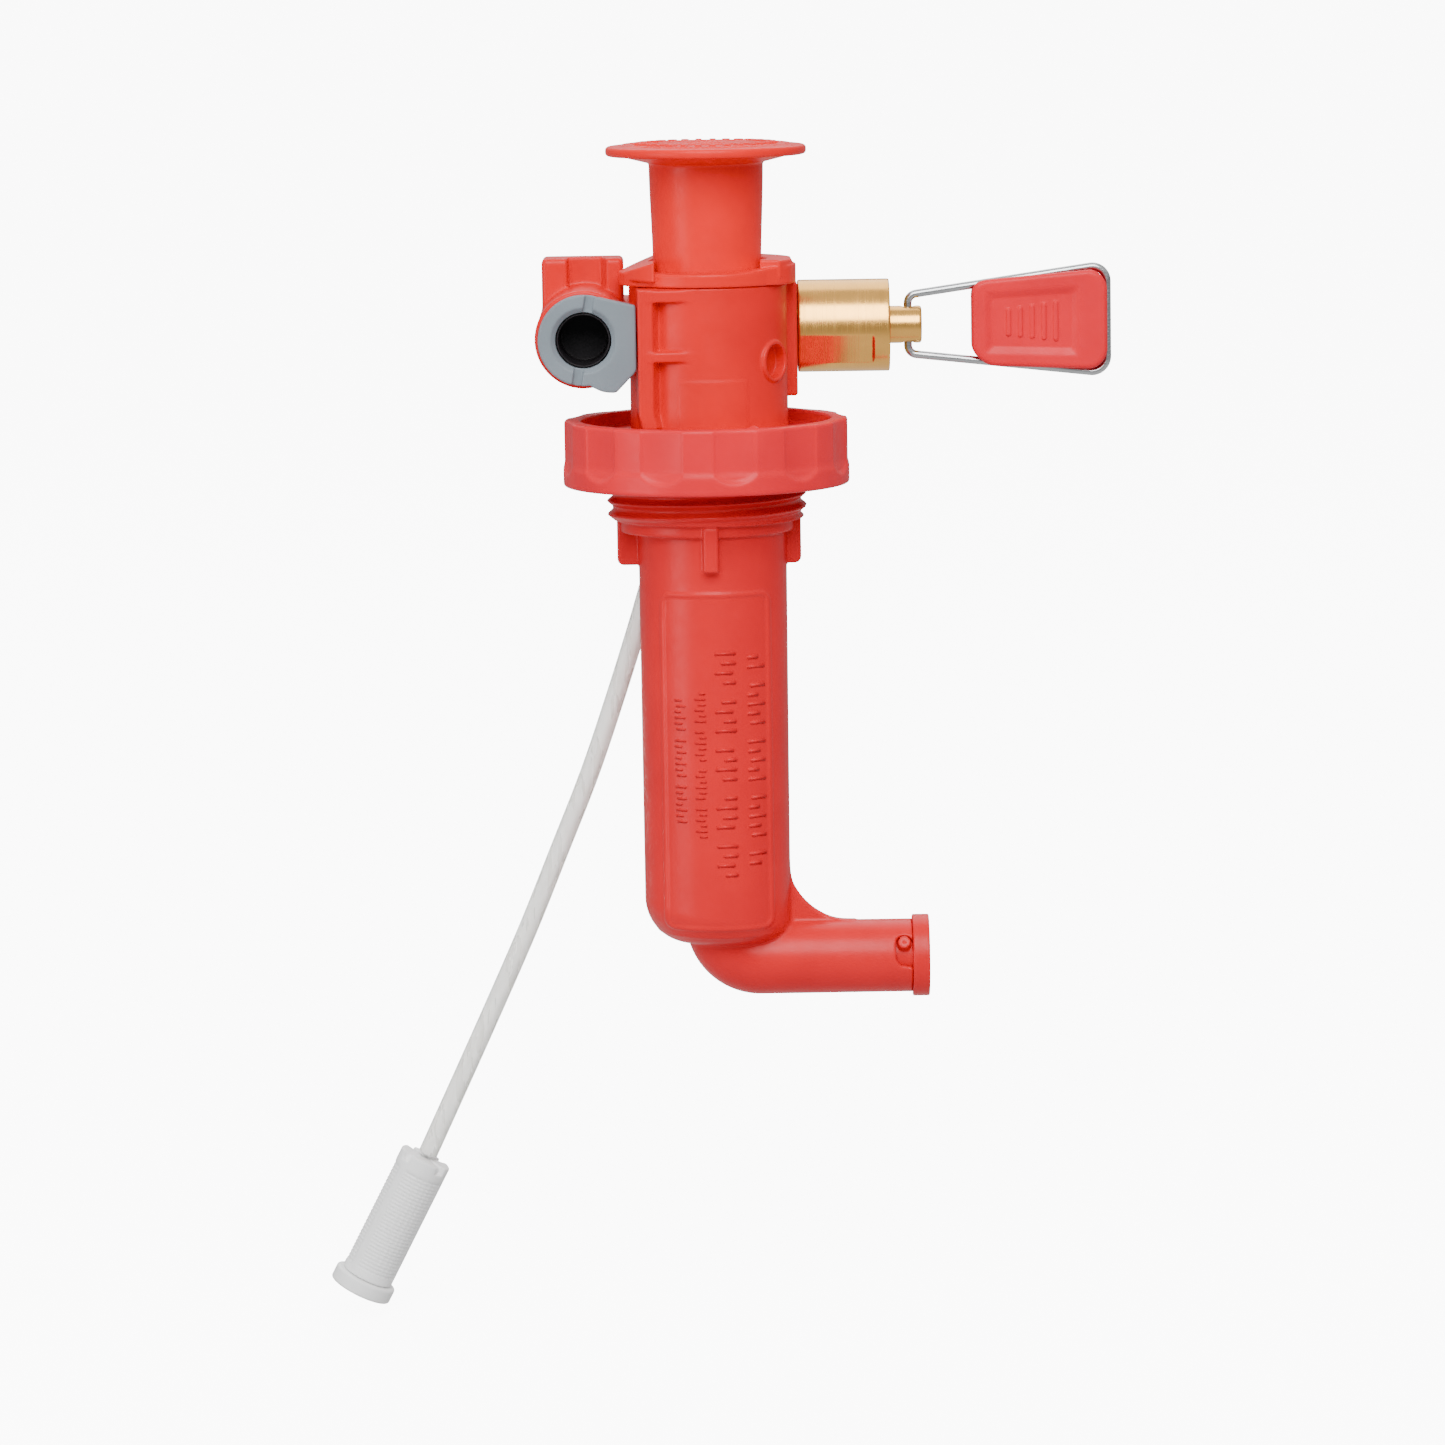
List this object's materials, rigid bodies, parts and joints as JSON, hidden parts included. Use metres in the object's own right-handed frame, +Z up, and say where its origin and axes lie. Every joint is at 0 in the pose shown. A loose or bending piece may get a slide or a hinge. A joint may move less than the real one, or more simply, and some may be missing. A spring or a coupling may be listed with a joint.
{
  "type": "hand plunger fuel bottle pump",
  "caption": "Hand plunger pump that screws into a fuel bottle, with a brass control valve, a fuel line port, a check valve and a suction tube with a filter.",
  "frame": {"origin": "on the bottle thread's axis, at the seal face under the gasket", "axes": "+Z up along the plunger, -Y to the front with the fuel line port, +X towards the brass control valve"},
  "size_m": [0.128, 0.0452, 0.1893],
  "materials": {
    "red_moulding": "satin moulded plastic",
    "ring_red": "satin moulded plastic",
    "knob_red": "smooth moulded plastic",
    "grip_red": "satin moulded plastic",
    "grey_plastic": "satin moulded plastic",
    "white_plastic": "fine mesh, matt",
    "clear_tube": "translucent",
    "black_rubber": "smooth",
    "brass": "turned and lightly brushed",
    "steel": "drawn wire"
  },
  "bodies": {
    "pump_body": {"pump_barrel": "red_moulding", "pump_head": "red_moulding", "grip_ring": "ring_red", "bottle_gasket": "black_rubber", "port_bushing": "grey_plastic", "port_seal": "black_rubber", "valve_nut": "brass", "nut_oring": "black_rubber", "check_valve_seat": "black_rubber", "suction_nipple": "brass", "suction_tube": "clear_tube", "suction_filter": "white_plastic", "filter_cap": "white_plastic"},
    "plunger_slider": {"pump_cup": "black_rubber"},
    "plunger": {"plunger_knob": "knob_red", "plunger_shaft": "red_moulding", "cup_retainer": "steel"},
    "bushing": {"plunger_bushing": "red_moulding"},
    "valve_slider": {"stem_oring": "black_rubber"},
    "valve_spindle": {"valve_stem": "brass"},
    "bail": {"bail_wire": "steel", "bail_grip": "grip_red"},
    "check_cap": {"check_valve_cap": "red_moulding"},
    "check_ball": {"check_valve_ball": "steel", "check_valve_spring": "steel"}
  },
  "joints": [
    {"name": "plunger_stroke", "type": "slide", "parent": "pump_body", "child": "plunger_slider", "axis": [0, 0, 1], "range_m": [0, 0.075]},
    {"name": "plunger_spin", "type": "hinge", "parent": "plunger_slider", "child": "plunger", "pos_m": [0.0006, -0.001, 0], "axis": [0, 0, 1], "continuous": true},
    {"name": "bushing_turn", "type": "hinge", "parent": "pump_body", "child": "bushing", "pos_m": [0.0006, -0.001, 0], "axis": [0, 0, 1], "range_deg": [0, 45]},
    {"name": "valve_travel", "type": "slide", "parent": "pump_body", "child": "valve_slider", "axis": [1, 0, 0], "range_m": [0, 0.002]},
    {"name": "valve_turn", "type": "hinge", "parent": "valve_slider", "child": "valve_spindle", "pos_m": [0.0327, 0.0138, 0.019], "axis": [1, 0, 0], "range_deg": [0, 720]},
    {"name": "bail_swing", "type": "hinge", "parent": "valve_spindle", "child": "bail", "pos_m": [0.0327, 0.0138, 0.019], "axis": [0, 0, 1], "range_deg": [-75, 75]},
    {"name": "check_cap_turn", "type": "hinge", "parent": "pump_body", "child": "check_cap", "pos_m": [0.0301, -0.001, -0.0813], "axis": [1, 0, 0], "range_deg": [0, 25]},
    {"name": "check_ball_lift", "type": "slide", "parent": "pump_body", "child": "check_ball", "axis": [1, 0, 0], "range_m": [0, 0.0018], "stiffness_N_per_m": 40, "springref_m": -0.001, "deforming": ["check_valve_spring"]}
  ],
  "couplings": [
    {"joint": "valve_travel", "follows": "valve_turn", "m_per_rad": 0.00015915}
  ]
}
